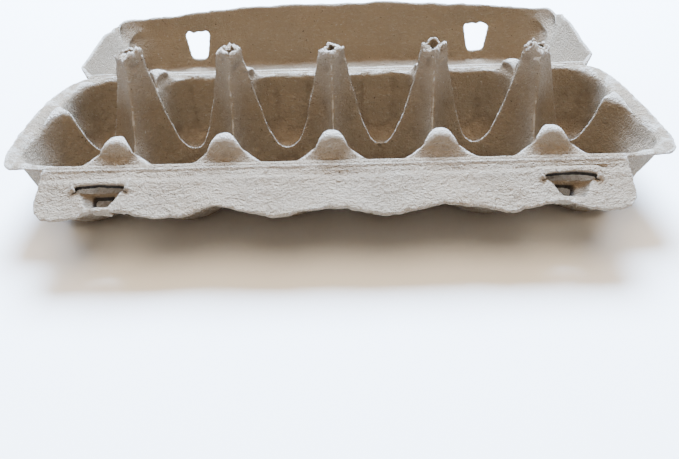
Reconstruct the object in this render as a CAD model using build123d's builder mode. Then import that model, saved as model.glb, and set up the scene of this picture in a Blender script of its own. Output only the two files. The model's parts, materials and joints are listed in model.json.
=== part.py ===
from build123d import *
import os
from math import cos, radians, sin, tan

# Egg carton for twelve eggs, moulded in one piece from paper pulp and opened flat.
# Three stiff panels, the egg tray, the lid and the lock flap, are joined by two creased
# strips that work as living hinges. The carton is shown as it leaves the mould: the lid lies
# open behind the tray with its rim level with the tray's rim, and the flap slopes down in front.
# Millimetres, +X along the carton, +Y from the flap to the lid, +Z up. The origin is at the
# centre of the open carton's box, on the surface that it stands on.

# --- Driving dimensions -------------------------------------------------------------------
wall = 2.0                      # thickness of the moulded pulp
rim_height = 39.0               # rim plane above the table, for the tray and the lid alike

cell_pitch = 47.4               # from egg to egg along the carton
row_offset = 22.3               # from the tray's middle line to each row of eggs
cell_count = 6                  # eggs in a row
cup_radius = 24.35              # inside radius of a cup at the rim
cup_flare = 0.115               # growth of that radius for each unit of height
cup_foot_radius = 9.0           # flat bottom of a cup, inside
cup_shoulder_depth = 23.0       # where the bowl of a cup meets its flaring side

tray_width = 98.0               # from crease to crease
tray_half_length = 151.0        # at the widest point of the end flanges
end_space_x = 142.6             # inside half length of the tray at the rim
front_lip = 3.8                 # flange in front of and behind the cups
tray_draft = 7.0                # slope of the tray's outer walls, degrees

post_height = 33.6              # pillars between the cups, above the rim
post_reach_x = 17.0             # half extents of a pillar's foot at the rim
post_reach_y = 18.0

hump_half_width = 10.5          # rounded humps on the long walls between the cups
front_hump_height = 10.6
rear_hump_height = 8.5
front_hump_face = 6.0           # from the crease to the hump's upright face
rear_hump_face = 8.0
hump_depth = 16.0
hump_crest = 2.0                # from a hump's upright face to its highest line
hump_fall = 9.5                 # and from there to where its back meets the rim
end_hump_height = 4.6           # one broad hump on each end wall, between the two rows
end_hump_half_width = 13.0
end_hump_inner_x = 128.0
end_hump_outer_x = 140.6

lid_half_length = 145.4         # outside, at the rim
lid_side_v = 15.0               # distances named _v are measured from the lid's crease
lid_far_v = 102.3               # far rim at its ends
lid_far_middle_v = 107.8        # far rim bows out at the middle
lid_near_v = 3.0                # outside of the wall beside the crease
lid_draft = 13.0                # slope of the lid's walls, degrees
lid_corner_drop = 4.0           # the far rim's ends lie lower than its middle
lid_edge_gap = 0.4              # the lid's rim stays this far under the level of its crease
lid_near_half_length = 138.0    # the wall beside the crease is shorter than the rim
lid_corner_radius = 17.0
lid_dip_start_v = 62.0          # each end rim dips from here towards the far corner
lid_dip_end_v = 88.0

slot_x = 97.0                   # latch slots in the lid's far wall
slot_low = 12.2                 # distances from the rim
slot_high = 31.0
slot_width_low = 16.0
slot_width_high = 10.0

flap_drop = 20.0                # slope of the open flap below the level, degrees
flap_length = 25.5              # at the middle of each cell
flap_wave = 2.4                 # how much shorter the flap is between the cells
flap_thickness = 1.8
flap_half_width = 127.0
flap_corner_radius = flap_half_width - cell_pitch * (cell_count - 1) / 2
flap_root = 1.6                 # the stiff flap starts this far from the crease line

# A latch pocket is open at the top and at its tip. Each level has its widths towards and away
# from the crease, then its near and far distance from the crease.
latch_mouth = (20.0, 8.4, 11.0, 21.2)   # in the flap's face
latch_neck = (12.0, 7.6, 14.6, 20.9)    # where the pocket leaves the flap's underside
latch_tip = (10.0, 6.5, 15.8, 21.2)     # at its open tip
latch_depth = 5.2               # how far a pocket stands out under the flap
latch_wall = 1.0
latch_slit = 13.4               # a slit cut through the flap reaches from the mouth to here
hood_start = 5.0                # raised hood between the crease and each slit
hood_height = 1.4
hood_width = 24.0

crease_thickness = 0.7
crease_gap = 0.5                # from a crease line to the stiff edge of the tray or the lid

# --- Places worked out from them ----------------------------------------------------------
flap_reach = flap_length * cos(radians(flap_drop))
open_depth = flap_reach + tray_width + lid_far_middle_v
flap_crease_y = flap_reach - open_depth / 2
lid_crease_y = flap_crease_y + tray_width
tray_middle_y = flap_crease_y + tray_width / 2
post_count = cell_count - 1


def cup_solid(growth):
    """The space of one cup about the row frame's Z axis, enlarged by growth on every side."""
    side_low = cup_radius - cup_flare * cup_shoulder_depth + growth
    side_high = cup_radius + cup_flare * (post_height + wall) + growth
    floor = -(rim_height - wall) - growth
    bowl_radius = (side_low + cup_foot_radius) / 2 + 3.2
    with BuildPart() as cup:
        with BuildSketch(Plane.XZ):
            with BuildLine():
                Line((0, floor), (cup_foot_radius, floor))
                ThreePointArc(
                    (cup_foot_radius, floor),
                    (bowl_radius, (floor - cup_shoulder_depth) / 2 - 2.4),
                    (side_low, -cup_shoulder_depth),
                )
                Line((side_low, -cup_shoulder_depth), (side_high, post_height + wall))
                Line((side_high, post_height + wall), (0, post_height + wall))
                Line((0, post_height + wall), (0, floor))
            make_face()
        revolve(axis=Axis.Z)
    return cup.part


def wall_envelope(growth):
    """The room inside the tray's four outer walls, from above the posts down past the cups."""
    top = post_height + wall
    bottom = -rim_height
    spread = top * tan(radians(tray_draft)) + growth
    with BuildPart() as envelope:
        with BuildSketch(Plane.XY.offset(rim_height + top)):
            with Locations((0, tray_middle_y)):
                RectangleRounded(
                    2 * (end_space_x + spread),
                    tray_width - 2 * front_lip + 2 * spread,
                    26.0 + growth,
                )
        extrude(amount=bottom - top, taper=tray_draft)
    return envelope.part


def egg_space(growth):
    """All twelve cups together, held within the tray's outer walls."""
    cup = cup_solid(growth)
    with BuildPart() as space:
        with Locations((0, tray_middle_y, rim_height)):
            with GridLocations(cell_pitch, 2 * row_offset, cell_count, 2):
                add(cup)
        add(wall_envelope(growth), mode=Mode.INTERSECT)
    return space.part


def long_wall_humps(shrink):
    """The ten humps on the front and rear walls, smaller by shrink on every side."""
    half_width = hump_half_width - shrink
    with BuildPart() as humps:
        for height, face_y, inward in (
            (front_hump_height, flap_crease_y + front_hump_face, 1),
            (rear_hump_height, lid_crease_y - rear_hump_face, -1),
        ):
            face_plane = Plane((0, face_y + inward * shrink, rim_height), (1, 0, 0), (0, -1, 0))
            with BuildSketch(face_plane):
                with Locations((0, -wall)):
                    with GridLocations(cell_pitch, 1, post_count, 1):
                        Ellipse(half_width, height + wall - shrink)
                    Rectangle(
                        2 * tray_half_length,
                        3 * front_hump_height,
                        align=(Align.CENTER, Align.MAX),
                        mode=Mode.SUBTRACT,
                    )
            extrude(amount=-inward * (hump_depth - shrink))
        with BuildSketch(Plane.YZ.offset(-tray_half_length)):
            for height, crest_y in (
                (front_hump_height, flap_crease_y + front_hump_face + hump_crest),
                (rear_hump_height, lid_crease_y - rear_hump_face - hump_crest),
            ):
                with Locations((crest_y, rim_height - wall)):
                    Ellipse(hump_fall - shrink, height + wall - shrink)
        extrude(amount=2 * tray_half_length, mode=Mode.INTERSECT)
    return humps.part


def end_wall_humps(shrink):
    """The broad hump on each end wall, smaller by shrink on every side."""
    half_width = end_hump_half_width - shrink
    with BuildPart() as humps:
        end_plane = Plane((end_hump_inner_x, tray_middle_y, rim_height), (0, 1, 0), (1, 0, 0))
        with BuildSketch(end_plane):
            with Locations((0, -wall)):
                Ellipse(half_width, end_hump_height + wall - shrink)
                Rectangle(
                    3 * end_hump_half_width,
                    2 * end_hump_half_width,
                    align=(Align.CENTER, Align.MAX),
                    mode=Mode.SUBTRACT,
                )
        extrude(amount=end_hump_outer_x - end_hump_inner_x - shrink)
        mirror(about=Plane.YZ)
    return humps.part


# --- Egg tray -----------------------------------------------------------------------------
front_edge_y = flap_crease_y + crease_gap
rear_edge_y = lid_crease_y - crease_gap

with BuildPart() as flange_plate:
    with BuildSketch(Plane.XY.offset(rim_height)) as flange_outline:
        with BuildLine():
            front = Line((0, front_edge_y), (flap_half_width + 4, front_edge_y))
            step = Line(front @ 1, (144, front_edge_y + 3))
            side = ThreePointArc(
                step @ 1, (tray_half_length, tray_middle_y + 1.5), (144, rear_edge_y)
            )
            Line(side @ 1, (0, rear_edge_y))
            mirror(about=Plane.YZ)
        make_face()
        fillet(flange_outline.vertices().group_by(Axis.X)[-1], 9.0)
        fillet(flange_outline.vertices().group_by(Axis.X)[0], 9.0)
    extrude(amount=-wall)

with BuildPart() as solid_zone:
    with BuildSketch(Plane.XY):
        with Locations((0, tray_middle_y)):
            Rectangle(2 * tray_half_length, tray_width)
    extrude(amount=rim_height)
    with BuildSketch(Plane.XY.offset(rim_height)):
        with Locations((0, tray_middle_y)):
            with GridLocations(cell_pitch, 1, post_count, 1):
                Rectangle(2 * post_reach_x, 2 * post_reach_y)
    extrude(amount=post_height)
    add(long_wall_humps(0))
    add(end_wall_humps(0))

with BuildPart() as hump_skins:
    add(long_wall_humps(0))
    add(end_wall_humps(0))
    add(flange_plate.part)
    add(long_wall_humps(wall), mode=Mode.SUBTRACT)
    add(end_wall_humps(wall), mode=Mode.SUBTRACT)

with BuildPart() as tray:
    add(egg_space(wall))
    add(solid_zone.part, mode=Mode.INTERSECT)
    add(hump_skins.part)
    add(egg_space(0), mode=Mode.SUBTRACT)
tray.part.label = "tray"

# --- Lid ----------------------------------------------------------------------------------
lid_top = rim_height - lid_edge_gap


def lid_block(inset, floor_z):
    """The lid as a solid tapered block, inset from its outer walls, from its rim to floor_z."""
    half = lid_half_length - inset
    near_y = lid_crease_y + lid_near_v + inset
    far_y = lid_crease_y + lid_far_v - inset
    corner = lid_corner_radius - inset
    with BuildPart() as block:
        with BuildSketch(Plane.XY.offset(lid_top)):
            with BuildLine():
                near = Line((0, near_y), (lid_near_half_length - inset, near_y))
                flare = Line(near @ 1, (half, lid_crease_y + lid_side_v))
                side = Line(flare @ 1, (half, far_y - corner))
                TangentArc(side @ 1, (half - corner, far_y), tangent=side % 1)
                mirror(about=Plane.YZ)
                ThreePointArc(
                    (half - corner, far_y),
                    (0, lid_crease_y + lid_far_middle_v - inset),
                    (corner - half, far_y),
                )
            make_face()
        extrude(amount=floor_z - lid_top, taper=lid_draft)
    return block.part


def rim_dip():
    """What the lid's rim lacks at its two far corners."""
    low = lid_top - lid_corner_drop
    with BuildPart() as dip:
        far_plane = Plane((0, lid_crease_y + lid_dip_end_v, 0), (1, 0, 0), (0, -1, 0))
        with BuildSketch(far_plane):
            with BuildLine():
                bow = ThreePointArc(
                    (-lid_far_half_length, low), (0, lid_top), (lid_far_half_length, low)
                )
                Polyline(
                    bow @ 1,
                    (tray_half_length, low),
                    (tray_half_length, rim_height),
                    (-tray_half_length, rim_height),
                    (-tray_half_length, low),
                    bow @ 0,
                )
            make_face()
        extrude(amount=lid_dip_end_v - 2 * tray_width)
        with BuildSketch(Plane.YZ.offset(lid_far_half_length)):
            with BuildLine():
                Polyline(
                    (lid_crease_y + lid_dip_start_v, lid_top),
                    (lid_crease_y + lid_dip_end_v, low),
                    (lid_crease_y + lid_dip_end_v, rim_height),
                    (lid_crease_y + lid_dip_start_v, rim_height),
                    close=True,
                )
            make_face()
        wedge = extrude(amount=tray_half_length - lid_far_half_length)
        mirror(wedge, about=Plane.YZ)
    return dip.part


lid_inset = wall / cos(radians(lid_draft))
lid_far_half_length = lid_half_length - lid_corner_radius
outer_lid = lid_block(0, 0)
inner_lid = lid_block(lid_inset, wall)
corner_dips = rim_dip()

with BuildPart() as lid:
    add(outer_lid)
    with BuildSketch(Plane.XY.offset(lid_top)):
        with Locations((0, lid_crease_y + crease_gap)):
            Rectangle(
                2 * lid_near_half_length, lid_near_v + 1, align=(Align.CENTER, Align.MIN)
            )
    extrude(amount=-wall)
    add(inner_lid, mode=Mode.SUBTRACT)
    add(corner_dips, mode=Mode.SUBTRACT)
    slot_plane = Plane((0, lid_crease_y + lid_far_middle_v, lid_top), (1, 0, 0), (0, -1, 0))
    with BuildSketch(slot_plane) as slots:
        with Locations((-slot_x, 0), (slot_x, 0)):
            Polygon(
                (-slot_width_low / 2, -slot_low),
                (slot_width_low / 2, -slot_low),
                (slot_width_high / 2, -slot_high),
                (-slot_width_high / 2, -slot_high),
                align=None,
            )
        fillet(slots.vertices(), 2.0)
    extrude(amount=2 * (lid_far_middle_v - lid_dip_end_v), mode=Mode.SUBTRACT)
lid.part.label = "lid"

# --- Lock flap ----------------------------------------------------------------------------
slope = radians(flap_drop)
flap_plane = Plane(
    origin=(0, flap_crease_y, rim_height), x_dir=(1, 0, 0), z_dir=(0, -sin(slope), cos(slope))
)


def latch_funnel(grow):
    """Both latch pockets as solid tapering blocks, with their walls moved out by grow."""
    with BuildPart() as funnel:
        for level, (width, end_width, near, far) in (
            (0, latch_mouth),
            (-flap_thickness, latch_neck),
            (-flap_thickness - latch_depth, latch_tip),
        ):
            with BuildSketch(Plane.XY.offset(level)):
                Polygon(
                    (-width / 2 - grow, grow - near),
                    (width / 2 + grow, grow - near),
                    (end_width / 2 + grow, -grow - far),
                    (-end_width / 2 - grow, -grow - far),
                    align=None,
                )
        loft(ruled=True)
    with BuildPart() as pair:
        with Locations(flap_plane):
            with Locations((-slot_x, 0), (slot_x, 0)):
                add(funnel.part)
    return pair.part


slit_half_width = latch_mouth[0] / 2 - (latch_slit - latch_mouth[2]) * (
    latch_mouth[0] - latch_mouth[1]
) / (latch_mouth[3] - latch_mouth[2]) / 2

# Points of the flap's free edge, which runs in and out in step with the cells.
free_edge = [
    (k * cell_pitch / 2, flap_wave * (k % 2 == 0) - flap_length)
    for k in range(1 - cell_count, cell_count)
]

with BuildPart() as lock_flap:
    with BuildSketch(flap_plane):
        with BuildLine():
            edge = Spline(*free_edge, tangents=((1, 0), (1, 0)))
            corner = TangentArc(
                edge @ 1, (flap_half_width, flap_corner_radius - flap_length), tangent=(1, 0)
            )
            Polyline(corner @ 1, (flap_half_width, -flap_root), (0, -flap_root))
            Polyline(
                (0, -flap_root),
                (-flap_half_width, -flap_root),
                (-flap_half_width, flap_corner_radius - flap_length),
            )
            TangentArc(
                edge @ 0,
                (-flap_half_width, flap_corner_radius - flap_length),
                tangent=(-1, 0),
            )
        make_face()
    extrude(amount=-flap_thickness)
    add(latch_funnel(latch_wall))
    with BuildSketch(flap_plane):
        with Locations((-slot_x, -hood_start), (slot_x, -hood_start)):
            Rectangle(hood_width, latch_slit - hood_start, align=(Align.CENTER, Align.MAX))
    extrude(amount=hood_height, taper=40)
    add(latch_funnel(0), mode=Mode.SUBTRACT)
    with BuildSketch(flap_plane.offset(-flap_thickness)):
        with Locations((-slot_x, 0), (slot_x, 0)):
            Polygon(
                (-latch_mouth[0] / 2, -latch_mouth[2]),
                (latch_mouth[0] / 2, -latch_mouth[2]),
                (slit_half_width, -latch_slit),
                (-slit_half_width, -latch_slit),
                align=None,
            )
    extrude(amount=flap_thickness + hood_height, mode=Mode.SUBTRACT)
lock_flap.part.label = "lock_flap"

# --- Living hinges ------------------------------------------------------------------------
crease_overhang = crease_gap - 0.15     # bare crease between its line and the tray's edge

with BuildPart() as lid_crease:
    with BuildSketch(Plane.XY.offset(lid_top)):
        with Locations((0, lid_crease_y - crease_overhang)):
            Rectangle(
                2 * lid_near_half_length - 4,
                crease_overhang + crease_gap,
                align=(Align.CENTER, Align.MIN),
            )
    extrude(amount=-crease_thickness)
lid_crease.part.label = "lid_crease"

with BuildPart() as flap_crease:
    with BuildSketch(flap_plane):
        with Locations((0, -flap_root)):
            Rectangle(
                2 * flap_half_width,
                flap_root + crease_overhang - 0.3,
                align=(Align.CENTER, Align.MIN),
            )
    extrude(amount=-crease_thickness)
flap_crease.part.label = "flap_crease"

# --- Files --------------------------------------------------------------------------------
os.makedirs("parts", exist_ok=True)
for piece in (tray, lid, lock_flap, lid_crease, flap_crease):
    export_step(piece.part, f"parts/{piece.part.label}.step")
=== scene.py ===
import json
import math

import bmesh
import bpy
import numpy as np
from mathutils import Matrix, Vector


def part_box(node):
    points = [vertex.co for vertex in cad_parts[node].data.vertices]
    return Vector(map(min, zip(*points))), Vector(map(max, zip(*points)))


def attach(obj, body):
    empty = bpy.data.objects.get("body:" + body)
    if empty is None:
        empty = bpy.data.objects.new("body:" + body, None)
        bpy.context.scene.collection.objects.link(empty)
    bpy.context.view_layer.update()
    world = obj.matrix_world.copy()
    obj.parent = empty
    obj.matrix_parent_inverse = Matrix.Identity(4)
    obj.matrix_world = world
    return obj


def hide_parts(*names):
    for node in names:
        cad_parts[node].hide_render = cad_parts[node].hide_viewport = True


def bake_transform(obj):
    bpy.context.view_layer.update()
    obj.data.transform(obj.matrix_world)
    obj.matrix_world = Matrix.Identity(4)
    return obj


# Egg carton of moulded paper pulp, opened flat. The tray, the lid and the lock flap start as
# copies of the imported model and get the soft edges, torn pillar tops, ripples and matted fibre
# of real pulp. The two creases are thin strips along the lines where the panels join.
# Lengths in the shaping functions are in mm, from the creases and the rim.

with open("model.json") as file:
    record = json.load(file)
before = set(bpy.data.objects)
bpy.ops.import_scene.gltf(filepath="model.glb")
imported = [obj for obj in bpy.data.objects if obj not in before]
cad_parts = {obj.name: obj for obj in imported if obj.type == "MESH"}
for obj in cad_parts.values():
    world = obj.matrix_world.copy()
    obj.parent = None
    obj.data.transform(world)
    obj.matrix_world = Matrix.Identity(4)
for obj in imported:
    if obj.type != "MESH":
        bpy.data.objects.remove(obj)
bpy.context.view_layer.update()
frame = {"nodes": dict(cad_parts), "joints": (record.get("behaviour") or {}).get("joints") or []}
MM = 0.001

# --- Places from the frame -----------------------------------------------------------------
joints = {joint["name"]: joint for joint in frame["joints"]}
FLAP_AXIS = Vector(joints["flap_hinge"]["pos_m"])
LID_AXIS = Vector(joints["lid_hinge"]["pos_m"])
RIM = LID_AXIS.z / MM                   # rim plane, above the table
POST_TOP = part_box("tray")[1].z / MM     # top of the pillars

# --- Driving sizes -------------------------------------------------------------------------
PITCH = 47.4                            # from cell to cell
POSTS = 5                               # pillars, and humps in each long wall
FLAP_DROP = math.radians(20)            # slope of the open flap
LATCH = 97.0                            # from the middle to each latch and to its slot
FLAP_CREASE_HALF = 126.2                # half lengths of the creases
LID_CREASE_HALF = 136.8
PANEL_SKIN = 0.75     # size of the faces in the tray's and the lid's skin
FLAP_SKIN = 0.45
FACE_LIMIT = 190000                     # triangles in one piece

# --- Mesh helpers --------------------------------------------------------------------------
def add_object(name, mesh):
    obj = bpy.data.objects.new(name, mesh)
    bpy.context.scene.collection.objects.link(obj)
    return obj


def cad_copy(node, name):
    """A copy of a CAD node's mesh with its loose triangles merged."""
    mesh = frame["nodes"][node].data.copy()
    shape = bmesh.new()
    shape.from_mesh(mesh)
    bmesh.ops.remove_doubles(shape, verts=shape.verts, dist=0.002 * MM)
    shape.to_mesh(mesh)
    shape.free()
    mesh.materials.clear()
    return add_object(name, mesh)


def apply_modifiers(obj):
    """Makes the object's modifiers part of its mesh."""
    graph = bpy.context.evaluated_depsgraph_get()
    mesh = bpy.data.meshes.new_from_object(obj.evaluated_get(graph))
    obj.modifiers.clear()
    obj.data = mesh


def remesh(obj, voxel):
    """Rebuilds the object as an even skin of square faces, voxel mm wide."""
    step = obj.modifiers.new("skin", "REMESH")
    step.mode = "VOXEL"
    step.voxel_size = voxel * MM
    apply_modifiers(obj)


def points_of(obj):
    """The object's points as an array in mm."""
    co = np.empty(len(obj.data.vertices) * 3)
    obj.data.vertices.foreach_get("co", co)
    return co.reshape(-1, 3) / MM


def move_points(obj, co):
    """Puts the object's points where an array in mm says."""
    obj.data.vertices.foreach_set("co", (co * MM).ravel())
    obj.data.update()


def rise(value, low, high):
    """0 below low, 1 above high, and a smooth step between them."""
    t = np.clip((value - low) / (high - low), 0.0, 1.0)
    return t * t * (3.0 - 2.0 * t)


def bell(value, middle, width):
    """1 in the middle, falling to 0 on both sides."""
    return np.exp(-(((value - middle) / width) ** 2))


def drift(co, length, seed):
    """A smooth irregular wave through space, about -1 to 1, with swells about length mm long."""
    rng = np.random.default_rng(seed)
    total = np.zeros(len(co))
    for _ in range(7):
        way = rng.normal(size=3)
        way *= 2 * math.pi / (length * rng.uniform(0.7, 1.5)) / np.linalg.norm(way)
        total += np.sin(co @ way + rng.uniform(0, 2 * math.pi))
    return total / 3.0


def relaxed(obj, times, weight=0.5):
    """The object's points after they have moved towards their neighbours, where weight says."""
    co = points_of(obj)
    ends = np.empty(len(obj.data.edges) * 2, dtype=np.int64)
    obj.data.edges.foreach_get("vertices", ends)
    a, b = ends.reshape(-1, 2).T
    count = len(co)
    links = np.maximum(np.bincount(a, minlength=count) + np.bincount(b, minlength=count), 1)
    for _ in range(times):
        for axis in range(3):
            line = co[:, axis]
            around = np.bincount(a, line[b], count) + np.bincount(b, line[a], count)
            co[:, axis] = line + weight * (around / links - line)
    return co


def soften(obj, times, weight=0.5):
    """Rounds the object's edges; weight is one number or one for each point."""
    move_points(obj, relaxed(obj, times, weight))


def facing_of(obj):
    """The direction that each point's skin faces."""
    facing = np.empty(len(obj.data.vertices) * 3)
    obj.data.vertices.foreach_get("normal", facing)
    return facing.reshape(-1, 3)


def store(obj, name, values):
    """Keeps one number for each point, for the material to read."""
    obj.data.attributes.new(name, "FLOAT", "POINT").data.foreach_set("value", values)


def mark_edge_wear_and_painted_light(obj):
    """Stores where the skin is a sharp ridge that faces up, above 0, or a furrow, below 0: the
    material paints ridges pale, partly as worn edges and partly as a painted highlight, and
    furrows darker as painted shade.
    """
    full_ridge = 0.42
    facing = facing_of(obj)
    proud = ((points_of(obj) - relaxed(obj, 9)) * facing).sum(axis=1)
    # Only ridges that face up are marked pale: besides worn edges this is a painted highlight
    # where the overhead light falls.
    proud *= np.where(proud > 0, rise(facing[:, 2], 0.12, 0.45), 1)
    store(obj, "edge_wear_and_painted_light", np.clip(proud / full_ridge, -1, 1))


def ripple(obj, name, size, strength, depth=2):
    """Raises and lowers the skin along its normals in lumps about size mm wide."""
    clouds = bpy.data.textures.new(name, "CLOUDS")
    clouds.noise_scale = size * MM
    clouds.noise_depth = depth
    clouds.noise_basis = "ORIGINAL_PERLIN"
    step = obj.modifiers.new(name, "DISPLACE")
    step.texture = clouds
    step.texture_coords = "LOCAL"
    step.strength = strength * MM
    step.mid_level = 0.5
    apply_modifiers(obj)


def keep_on_table(obj):
    """Lifts the points that a ripple has pushed below the table."""
    co = points_of(obj)
    co[:, 2] = np.maximum(co[:, 2], 0.0)
    move_points(obj, co)


def thin_out(obj):
    """Merges the flattest faces of a piece that has too many triangles."""
    count = sum(len(p.vertices) - 2 for p in obj.data.polygons)
    if count > FACE_LIMIT:
        step = obj.modifiers.new("thin", "DECIMATE")
        step.ratio = FACE_LIMIT / count
        apply_modifiers(obj)


def dress(obj, node, material):
    """Smooth shading, the finish, and the CAD node that the piece stands for."""
    obj.data.polygons.foreach_set("use_smooth", [True] * len(obj.data.polygons))
    obj.data.materials.append(material)
    mark_edge_wear_and_painted_light(obj)
    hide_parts(node)


# --- Shader helpers ------------------------------------------------------------------------
class Value:
    """A node socket that takes part in arithmetic; each operation adds a Math node."""

    def __init__(self, nodes, socket):
        self.nodes = nodes
        self.socket = socket

    def _math(self, operation, *inputs):
        node = self.nodes.new("ShaderNodeMath")
        node.operation = operation
        for slot, value in zip(node.inputs, inputs):
            plug(node, slot, value)
        return Value(self.nodes, node.outputs[0])

    def __add__(self, other):
        return self._math("ADD", self, other)

    def __radd__(self, other):
        return self._math("ADD", other, self)

    def __sub__(self, other):
        return self._math("SUBTRACT", self, other)

    def __rsub__(self, other):
        return self._math("SUBTRACT", other, self)

    def __mul__(self, other):
        return self._math("MULTIPLY", self, other)

    def __rmul__(self, other):
        return self._math("MULTIPLY", other, self)


def plug(node, slot, value):
    """Sets a socket, or links it where the value is a socket itself."""
    if isinstance(value, Value):
        node.id_data.links.new(value.socket, slot)
    else:
        slot.default_value = value


class Shader:
    """A material's node tree, with one method that adds any node."""

    def __init__(self, name):
        self.material = bpy.data.materials.new(name)
        self.material.use_nodes = True
        self.nodes = self.material.node_tree.nodes
        self.nodes.clear()

    def add(self, kind, settings=None, inputs=None, out=0):
        """Adds a node with these settings and inputs, and gives its output number out."""
        node = self.nodes.new("ShaderNode" + kind)
        for key, value in (settings or {}).items():
            setattr(node, key, value)
        for key, value in (inputs or {}).items():
            plug(node, node.inputs[key], value)
        return Value(self.nodes, node.outputs[out]) if node.outputs else None

    def mix(self, factor, low, high):
        """Mixes two colours."""
        return self.add("Mix", {"data_type": "RGBA"}, {0: factor, 6: low, 7: high}, out=2)

    def noise(self, place, scale, detail=2.0, rough=0.5, distort=0.0):
        """Irregular clouds; scale is how many there are in a metre."""
        inputs = {
            "Vector": place,
            "Scale": scale,
            "Detail": detail,
            "Roughness": rough,
            "Distortion": distort,
        }
        return self.add("TexNoise", {"noise_dimensions": "3D"}, inputs)

    def band(self, value, low, high):
        """0 below low, 1 above high, and a smooth step between them."""
        inputs = {"Value": value, "From Min": low, "From Max": high}
        return self.add("MapRange", {"interpolation_type": "SMOOTHSTEP"}, inputs)


TAN = (0.40, 0.28, 0.17, 1)
GREY_TAN = (0.375, 0.315, 0.24, 1)
PALE_TAN = (0.44, 0.345, 0.245, 1)
PIT_BROWN = (0.27, 0.20, 0.135, 1)
FINE_BROWN = (0.30, 0.235, 0.165, 1)
FIBRE_PALE = (0.52, 0.45, 0.36, 1)
DARK_FLECK = (0.09, 0.07, 0.05, 1)
PALE_FLECK = (0.62, 0.57, 0.50, 1)
PALE_RIDGE_AND_HIGHLIGHT = (0.66, 0.61, 0.54, 1)
FURROW_PAINTED_SHADE = (0.17, 0.13, 0.095, 1)
SLIT_PAINTED_SHADE = (0.03, 0.022, 0.015, 1)


def pulp_material():
    """Dry grey-brown paper pulp: mottled, flecked, with a matted felt of fibres; ridges painted
    pale, partly as worn edges and partly as a painted highlight, and painted shade in furrows and
    latch slits.
    """
    s = Shader("moulded_pulp")
    place = s.add("TexCoord", out=3)
    combed = s.add("Mapping", {}, {"Vector": place, "Scale": (0.35, 1.0, 1.0)})
    patches = s.noise(place, 28.0, 3.0, 0.55)
    clouds = s.noise(place, 150.0, 4.0, 0.6)
    wrinkle = s.noise(place, 360.0, 3.0, 0.55, 1.6)
    specks = s.noise(place, 640.0, 1.0, 0.4)
    fibre = s.noise(combed, 800.0, 3.0, 0.7, 1.2)
    grain = s.noise(place, 900.0, 4.0, 0.65, 0.3)
    fine = s.noise(place, 2100.0, 2.0, 0.6)
    dark_speck = s.band(specks, 0.74, 0.78)
    pale_speck = s.band(1.0 - specks, 0.74, 0.80)
    edge_wear_and_painted_light = s.add("Attribute", {"attribute_name": "edge_wear_and_painted_light"}, out=2)
    deep = s.add("Attribute", {"attribute_name": "deep"}, out=2)

    colour = s.mix(s.band(patches, 0.35, 0.65), TAN, GREY_TAN)
    colour = s.mix(s.band(clouds, 0.3, 0.7) * 0.4, colour, PALE_TAN)
    colour = s.mix(s.band(grain, 0.28, 0.52), PIT_BROWN, colour)
    colour = s.mix(s.band(fine, 0.35, 0.65) * 0.4, FINE_BROWN, colour)
    colour = s.mix(s.band(fibre, 0.52, 0.72) * 0.4, colour, FIBRE_PALE)
    colour = s.mix(dark_speck * 0.8, colour, DARK_FLECK)
    colour = s.mix(pale_speck * 0.5, colour, PALE_FLECK)
    # Pale ridges: partly worn edges, partly a painted highlight on ridges that face up.
    colour = s.mix(s.band(edge_wear_and_painted_light, 0.15, 0.75) * 0.7, colour, PALE_RIDGE_AND_HIGHLIGHT)
    # Painted shade: furrows and dents are darker.
    colour = s.mix(s.band(0.0 - edge_wear_and_painted_light, 0.15, 0.8) * 0.5, colour, FURROW_PAINTED_SHADE)
    # Painted shade: near black in the latch slits and pockets, where little light reaches.
    colour = s.mix(deep, colour, SLIT_PAINTED_SHADE)

    height = clouds * 0.6 + wrinkle * 0.8 + grain * 0.7 + fibre * 0.5 + fine * 0.25
    bump = s.add("Bump", {}, {"Height": height, "Strength": 1.0, "Distance": 0.0036})
    finish = {
        "Base Color": colour,
        "Roughness": 0.84 + grain * 0.14,
        "Normal": bump,
        "Specular IOR Level": 0.2,
    }
    s.add("OutputMaterial", {}, {"Surface": s.add("BsdfPrincipled", {}, finish)})
    return s.material


def floor_material():
    """Plain and pale."""
    s = Shader("floor")
    shade = s.add("BsdfPrincipled", {}, {"Base Color": (0.86, 0.85, 0.83, 1), "Roughness": 0.9})
    s.add("OutputMaterial", {}, {"Surface": shade})
    return s.material


# --- Egg tray ------------------------------------------------------------------------------
POST_TILTS = (0.30, 0.14, 0.08, 0.06, -0.10)    # slope of each torn pillar top along the carton
POST_LOSS = (0.6, 0.4, 0.4, 0.6, 2.2)           # how much is torn off each
LIP_WAVE = 2.3                                  # from the lips' lowest to their highest
# How far the end flanges are pushed out at each distance behind the front crease, and how much
# further the right one is.
FLANGE_DEPTHS = (0, 9, 18, 27, 50, 78, 98)
FLANGE_PUSH = (1.4, 2.6, 2.7, 1.7, -0.6, -1.8, -3.2)
RIGHT_DEPTHS = (0, 9, 20, 34, 56)
RIGHT_PUSH = (2.2, 3.4, 3.0, 1.4, 0.0)


def tray_depth(co):
    """Distance behind the front crease."""
    return co[:, 1] - FLAP_AXIS.y / MM


def flange_ends(tray):
    """1 on the bend from the end walls to the end flanges, and 0 at the flanges' edges."""
    co = points_of(tray)
    over = co[:, 2] - RIM
    side = np.abs(co[:, 0])
    outline = 151.0 - 7.0 * ((tray_depth(co) - 50.5) / 47.0) ** 2
    return rise(side, 124, 132) * rise(over, -13, -4) * rise(outline - side, 2.0, 4.5)


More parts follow.
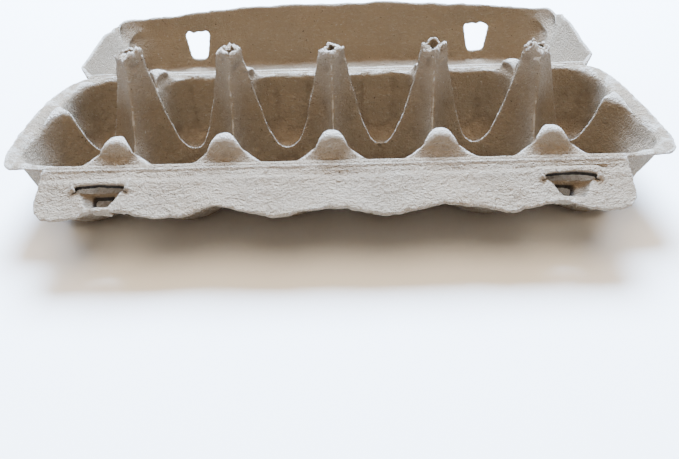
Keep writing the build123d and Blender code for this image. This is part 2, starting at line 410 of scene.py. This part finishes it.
def long_lips(tray):
    """1 on the lips of the front and rear walls between the humps."""
    co = points_of(tray)
    depth = tray_depth(co)
    front = rise(-depth, -17, -9) * rise(depth, 1.2, 2.6)
    rear = rise(depth, 80, 88) * rise(-depth, -96.6, -95.2)
    lips = np.maximum(front, rear) * rise(co[:, 2] - RIM, -8, -3)
    return lips * (1 - rise(np.abs(co[:, 0]), 126, 134))


def pillar_skin(tray):
    """1 on the upper side of the pillars and of the ridges between them, up to the torn tops."""
    co = points_of(tray)
    depth = tray_depth(co)
    skin = rise(depth, 20, 26) * rise(-depth, -78, -72) * rise(-np.abs(co[:, 0]), -134, -126)
    skin *= rise(facing_of(tray)[:, 2], -0.05, 0.05)
    return skin * rise(co[:, 2], RIM - 22, RIM - 16) * rise(POST_TOP - co[:, 2], 1.5, 4)


def shape_humps(co):
    """Each hump is bell-shaped: its foot flares into the lip and its face leans back."""
    over = co[:, 2] - RIM
    depth = tray_depth(co)
    slim = np.interp(over, (-2.0, 0, 1, 2.2, 6.8, 9.6), (1.0, 1.3, 1.0, 0.8, 0.84, 0.92))
    lean = np.interp(over, (-2.0, 0, 9.0), (0.0, -1.6, 0.3))
    front = rise(depth, 1.5, 4) * (depth < 24)
    rear = rise(-depth, -96.5, -94) * (depth > 74)
    for k in range(POSTS):
        beside = co[:, 0] - PITCH * (k - POSTS // 2)
        here = (1 - rise(np.abs(beside), 11, 17)) * np.maximum(front, rear)
        co[:, 0] += here * beside * (slim - 1)
        co[:, 1] += here * lean * np.where(depth < 49, 1, -1)
    return co


def curve_lips(co):
    """Between the humps both lips are lowest in the middle of each cell."""
    over = co[:, 2] - RIM
    depth = tray_depth(co)
    from_middle = np.abs((co[:, 0] / PITCH) % 1.0 - 0.5) * PITCH
    sag = LIP_WAVE * np.clip(from_middle / 12.5, 0, 1) ** 2.4 - 0.5
    front = rise(depth, 1.6, 4.2) * (depth < 30)
    lip = np.maximum(front, 0.3 * rise(-depth, -96.4, -93.5) * (depth > 70))
    fade = rise(over, -9, -1) * (1 - rise(over, 2, 9)) * (1 - rise(np.abs(co[:, 0]), 116, 126))
    co[:, 2] += sag * lip * fade
    return co


def spread_ends(co):
    """The end flanges are widest near the front and draw in towards the lid."""
    depth = tray_depth(co)
    over = co[:, 2] - RIM
    extra = np.interp(depth, RIGHT_DEPTHS, RIGHT_PUSH)
    push = np.interp(depth, FLANGE_DEPTHS, FLANGE_PUSH) + np.where(co[:, 0] > 0, extra, 0)
    co[:, 0] += np.sign(co[:, 0]) * push * rise(np.abs(co[:, 0]), 122, 141) * rise(over, -22, -3)
    return co


def make_room_for_lid(co):
    """The rim and the rear humps are a little lower where the shut lid comes down on them."""
    depth = tray_depth(co)
    over = co[:, 2] - RIM
    co[:, 2] -= 0.6 * rise(np.abs(co[:, 0]), 136, 142) * rise(over, -3, -1)
    co[:, 2] -= 0.5 * rise(depth, 90, 93) * rise(-depth, -96.5, -95) * rise(over, -3, -1)
    rear_hump = rise(depth, 74, 80) * (over > 0) * (np.abs(co[:, 0]) < 124)
    co[:, 2] -= rear_hump * over * 0.14
    return co


def tear_post_tops(co):
    """Pillar tops are torn open: ragged, crumpled and each at its own tilt."""
    over = co[:, 2] - POST_TOP
    for k in range(POSTS):
        beside = co[:, 0] - PITCH * (k - POSTS // 2)
        here = (np.abs(beside) < 14) & (over > -14)
        part = co[here]
        high = rise(over[here], -9.0, -0.5)
        crumple = rise(over[here], -14.0, -3.0)
        tilt = POST_TILTS[k] * beside[here]
        torn = drift(part, 5.0, 40 + k) * 0.9 + drift(part, 2.2, 50 + k) * 0.55
        part[:, 2] += high * (tilt + torn - POST_LOSS[k])
        part[:, 0] += crumple * (drift(part, 6.0, 60 + k) * 0.5)
        part[:, 1] += crumple * (drift(part, 6.0, 70 + k) * 0.5)
        co[here] = part
    return co


def warp(co, hold, seed):
    """Bends the whole sheet a little out of true, and not at all where hold is 1."""
    free = 1 - hold
    for axis, size in ((0, 0.35), (1, 0.35), (2, 0.45)):
        co[:, axis] += free * size * drift(co, 60.0, seed + axis)
        co[:, axis] += free * 0.18 * drift(co, 18.0, seed + 5 + axis)
    return co


def make_tray():
    tray = cad_copy("tray", "egg_tray")
    remesh(tray, PANEL_SKIN)
    steps = 2
    soften(tray, 2 * steps)
    move_points(tray, curve_lips(shape_humps(points_of(tray))))
    ends, lips = flange_ends(tray), long_lips(tray)
    soften(tray, 7 * steps, 0.4 * lips)
    soften(tray, 16 * steps, 0.5 * pillar_skin(tray))
    soften(tray, 22 * steps, 0.5 * ends)
    co = make_room_for_lid(spread_ends(tear_post_tops(points_of(tray))))
    depth = tray_depth(co)
    hold = np.maximum(rise(-depth, -5, -1.5), rise(depth, 93, 96.5))
    move_points(tray, warp(co, hold, 11))
    ripple(tray, "tray_lumps", 8, 0.7)
    ripple(tray, "tray_felt", 2.4, 0.35)
    keep_on_table(tray)
    thin_out(tray)
    dress(tray, "tray", PULP)
    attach(tray, "tray")


# --- Lid -----------------------------------------------------------------------------------
SLOT_ASIDE = ((-1, 1.0), (1, -1.6))     # for each side, how far its slot is out of place


def crumple_corners(co, behind, under, side):
    """The far corners stand out, with pleats that fan up from the panel's corner."""
    corner = rise(behind, 70, 92) * rise(side, 112, 128) * rise(under, -30, -8)
    outward = np.sign(co[:, 0])
    co[:, 0] += outward * 2.2 * corner
    co[:, 1] += 1.6 * corner * rise(behind, 88, 98)
    folds = np.abs(drift(co, 26.0, 21)) - 0.4
    co[:, 0] += corner * folds * 1.3 * outward
    co[:, 2] += corner * drift(co, 15.0, 22) * 0.8
    co[:, 2] += rise(under, -4, -1) * rise(behind, 6, 20) * drift(co, 22.0, 23) * 0.35
    pleat = np.abs(np.sin(14 * np.arctan2(under + 34, behind - 52))) - 0.6
    co[:, 0] += outward * 2.6 * pleat * corner


def shift_slots(co, behind, under):
    """The latch slots are a little out of place, with ragged top edges."""
    for sign, aside in SLOT_ASIDE:
        beside = co[:, 0] - sign * LATCH
        slot = rise(behind, 84, 90) * rise(-np.abs(beside), -22, -11)
        top = bell(under, -11, 5) * slot
        co[:, 0] += slot * aside * rise(under, -37, -32) * (1 - rise(under, -10, -4))
        co[:, 2] += top * (drift(co, 5.0, 24) * 0.7 - 2.4)


def shape_lid(co):
    """The far rim rises in the middle, and the rim at the crease leaves room to shut."""
    behind = co[:, 1] - LID_AXIS.y / MM
    under = co[:, 2] - RIM
    side = np.abs(co[:, 0])
    far = rise(behind, 84, 100) * rise(under, -16, -2)
    co[:, 2] += far * 1.6 * (1 - rise(side, 85, 135))
    co[:, 0] += np.sign(co[:, 0]) * 1.3 * rise(side, 128, 140) * rise(under, -30, -4)
    crumple_corners(co, behind, under, side)
    co[:, 2] -= 0.5 * rise(behind, 2.4, 3.2) * rise(-behind, -12, -8) * rise(under, -3, -1)
    shift_slots(co, behind, under)
    return warp(co, rise(-behind, -5, -1.5), 31)


def make_lid():
    lid = cad_copy("lid", "hinged_lid")
    remesh(lid, PANEL_SKIN)
    soften(lid, 9)
    move_points(lid, shape_lid(points_of(lid)))
    ripple(lid, "lid_lumps", 9, 0.5)
    ripple(lid, "lid_felt", 2.4, 0.25)
    keep_on_table(lid)
    thin_out(lid)
    dress(lid, "lid", PULP)
    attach(lid, "lid")


# --- Lock flap -----------------------------------------------------------------------------
# For each side: how far its latch's mouth and the foot of its pocket are out of place along the
# carton, and how far both are towards the crease.
LATCH_ASIDE = ((-1, -2.2, -0.6, 0.0), (1, 3.8, -0.2, 1.5))
CELL_WAVE = 1.1                         # height of the flap's waves
HOOD_RISE = 1.7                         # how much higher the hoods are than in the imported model


def flap_frame(co):
    """Distance out from the crease down the open flap, and lift above its face."""
    ahead = FLAP_AXIS.y / MM - co[:, 1]
    below = RIM - co[:, 2]
    out = ahead * math.cos(FLAP_DROP) + below * math.sin(FLAP_DROP)
    lift = ahead * math.sin(FLAP_DROP) - below * math.cos(FLAP_DROP)
    return out, lift


def mark_deep(flap):
    """Stores how little light reaches the slit and the pocket of each latch, from 0 to 1."""
    co = points_of(flap)
    out, lift = flap_frame(co)
    beside = np.abs(np.abs(co[:, 0]) - LATCH)
    slit = rise(out, 10.2, 10.8) * rise(-out, -14.0, -13.4) * rise(-lift, -0.9, -0.2)
    slit *= rise(-beside, -11, -10)
    pocket = rise(out, 12.8, 13.4) * rise(-out, -21.4, -20.6) * rise(-lift, 0.3, 0.8)
    pocket *= rise(-beside, -9, -7.5) * (0.3 + 0.7 * rise(-lift, 2.8, 3.6))
    store(flap, "deep", np.maximum(slit, pocket))


def shape_latches(co, out, lift):
    """Raises the hoods, narrows the slits and draws in the feet of the pockets."""
    for sign, aside, foot_aside, closer in LATCH_ASIDE:
        beside = co[:, 0] - sign * LATCH
        near = rise(-np.abs(beside), -22, -12) * rise(out, 3, 6) * rise(-out, -25, -20)
        hood = bell(beside, 0, 10.5) * rise(out, 6.0, 10.0) * rise(-out, -13.2, -11.6)
        mouth = rise(lift, -4.0, -1.2)
        co[:, 0] += near * mouth * (aside + beside * 0.16)
        co[:, 0] += near * (1 - mouth) * (foot_aside - beside * 0.12)
        co[:, 1] += near * closer
        strap = rise(-np.abs(beside), -10.5, -9) * rise(out, 13.0, 13.5) * rise(-out, -18, -14)
        co[:, 1] += strap * 1.3
        co[:, 2] += hood * HOOD_RISE + strap * 0.4 + near * 0.42 * np.maximum(-lift - 1.9, 0)


def shape_flap(co):
    """The flap waves up and down with the cells, behind a shallow valley along its crease."""
    out, lift = flap_frame(co)
    root = 0.9 * (1 - rise(out, 1.5, 6.0))
    co[:, 1] += root * math.cos(FLAP_DROP)
    co[:, 2] += root * math.sin(FLAP_DROP)
    wave = np.cos(2 * math.pi * co[:, 0] / PITCH) * rise(out, 6, 22)
    co[:, 2] += wave * CELL_WAVE
    co[:, 2] += 0.4 * bell(out, 8.4, 1.8) - 0.4 * bell(out, 5.3, 1.2)
    shape_latches(co, out, lift)
    edge = rise(out, 17, 22)
    co[:, 1] += edge * (drift(co, 13.0, 81) * 0.45 + drift(co, 4.0, 82) * 0.25)
    co[:, 2] += edge * drift(co, 17.0, 83) * 0.4
    return warp(co, rise(-out, -5, -2), 91)


def make_flap():
    flap = cad_copy("lock_flap", "latch_flap")
    remesh(flap, FLAP_SKIN)
    mark_deep(flap)
    soften(flap, 4)
    move_points(flap, shape_flap(points_of(flap)))
    ripple(flap, "flap_lumps", 6, 0.8)
    ripple(flap, "flap_felt", 1.9, 0.85)
    thin_out(flap)
    dress(flap, "lock_flap", PULP)
    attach(flap, "flap")


# --- Creases -------------------------------------------------------------------------------
STRIP_THICKNESS = 0.75


def pressed(y, panel):
    """Height of a crease's face: a fine groove on its line, sunk where it enters the panels."""
    joined = min(max(abs(y) - panel, 0.0) / 1.2, 1.0)
    return -0.12 - 0.4 * math.exp(-((y / 0.45) ** 2)) - 0.9 * joined


def crease_strip(name, axis, half_length, near, far, top):
    """A thin strip from near to far of its crease line, with top(y) as its height."""
    shape = bmesh.new()
    bmesh.ops.create_grid(shape, x_segments=240, y_segments=26, size=0.5)
    bmesh.ops.scale(shape, vec=(2 * half_length, far - near, 1), verts=shape.verts)
    bmesh.ops.translate(shape, vec=(0, (near + far) / 2, 0), verts=shape.verts)
    for vert in shape.verts:
        vert.co.z = top(vert.co.y)
    bmesh.ops.recalc_face_normals(shape, faces=shape.faces)
    bmesh.ops.solidify(shape, geom=shape.faces[:], thickness=STRIP_THICKNESS)
    bmesh.ops.recalc_face_normals(shape, faces=shape.faces)
    bmesh.ops.scale(shape, vec=(MM, MM, MM), verts=shape.verts)
    mesh = bpy.data.meshes.new(name)
    shape.to_mesh(mesh)
    shape.free()
    crease = add_object(name, mesh)
    co = points_of(crease)
    co += np.array(axis) / MM
    co[:, 2] += 0.06 * drift(co, 5.0, 7)
    move_points(crease, co)
    return crease


def front_face(y):
    """Level on the tray's side, and sloping with the flap on the other."""
    panel = 1.4 if y > 0 else 0.9
    return pressed(y, panel) + min(y, 0) * math.tan(FLAP_DROP)


def rear_face(y):
    """Level, and a little under the tray's and the lid's faces."""
    return pressed(y, 1.4) - 0.15


def make_front_crease():
    crease = crease_strip("front_crease", FLAP_AXIS, FLAP_CREASE_HALF, -3.0, 2.2, front_face)
    dress(crease, "flap_crease", PULP)
    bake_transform(crease)


def make_rear_crease():
    crease = crease_strip("rear_crease", LID_AXIS, LID_CREASE_HALF, -2.4, 2.4, rear_face)
    dress(crease, "lid_crease", PULP)
    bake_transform(crease)


# --- Floor, lights and camera ---------------------------------------------------------------
def make_floor():
    """A wide flat floor at the height of the table."""
    shape = bmesh.new()
    bmesh.ops.create_grid(shape, x_segments=1, y_segments=1, size=4.0)
    mesh = bpy.data.meshes.new("floor")
    shape.to_mesh(mesh)
    shape.free()
    mesh.materials.append(floor_material())
    add_object("floor", mesh)


COOL = (0.53, 0.715, 1.0)
WARM = (1.0, 0.80, 0.58)


def area_light(name, place, size, power, colour):
    """A round soft light that shines on the carton."""
    light = bpy.data.lights.new(name, "AREA")
    light.shape = "DISK"
    light.size = size
    light.energy = power
    light.color = colour
    lamp = bpy.data.objects.new(name, light)
    lamp.location = place
    lamp.rotation_mode = "QUATERNION"
    lamp.rotation_quaternion = (Vector((0, 0, 0.03)) - Vector(place)).to_track_quat("-Z", "Y")
    bpy.context.scene.collection.objects.link(lamp)


def make_lights():
    """Cool daylight from above and behind, and a little warm light from in front."""
    area_light("overhead", (0.0, 0.62, 0.95), 0.7, 185.0, COOL)
    area_light("left_window", (-1.0, 0.9, 0.70), 0.6, 17.0, COOL)
    area_light("right_window", (1.0, 1.0, 0.75), 0.6, 17.0, COOL)
    area_light("front_fill", (0.0, -0.25, 1.3), 1.2, 25.0, WARM)


def make_world():
    """Dim warm light from all around."""
    world = bpy.data.worlds.new("studio")
    world.use_nodes = True
    background = world.node_tree.nodes["Background"]
    background.inputs["Color"].default_value = (1.0, 0.80, 0.59, 1)
    background.inputs["Strength"].default_value = 0.44
    bpy.context.scene.world = world


def make_camera():
    """Looks down on the front of the carton from close by, a little to the right."""
    place = Vector((8.9, -243.7, 150.9)) * MM + FLAP_AXIS
    pitch, turn, roll = 0.6545, -0.028, -0.039
    ahead = Vector(
        (math.sin(turn) * math.cos(pitch), math.cos(turn) * math.cos(pitch), -math.sin(pitch))
    )
    level = Vector((math.cos(turn), -math.sin(turn), 0))
    upright = level.cross(ahead)
    right = level * math.cos(roll) + upright * math.sin(roll)
    up = upright * math.cos(roll) - level * math.sin(roll)
    data = bpy.data.cameras.new("camera")
    data.sensor_width = 36.0
    data.lens = 34.94
    data.clip_start = 0.01
    camera = bpy.data.objects.new("camera", data)
    camera.rotation_mode = "QUATERNION"
    camera.location = place
    camera.rotation_quaternion = Matrix((right, up, -ahead)).transposed().to_quaternion()
    bpy.context.scene.collection.objects.link(camera)
    bpy.context.scene.camera = camera


PULP = pulp_material()
make_tray()
make_lid()
make_flap()
make_front_crease()
make_rear_crease()
make_floor()
make_world()
make_lights()
make_camera()
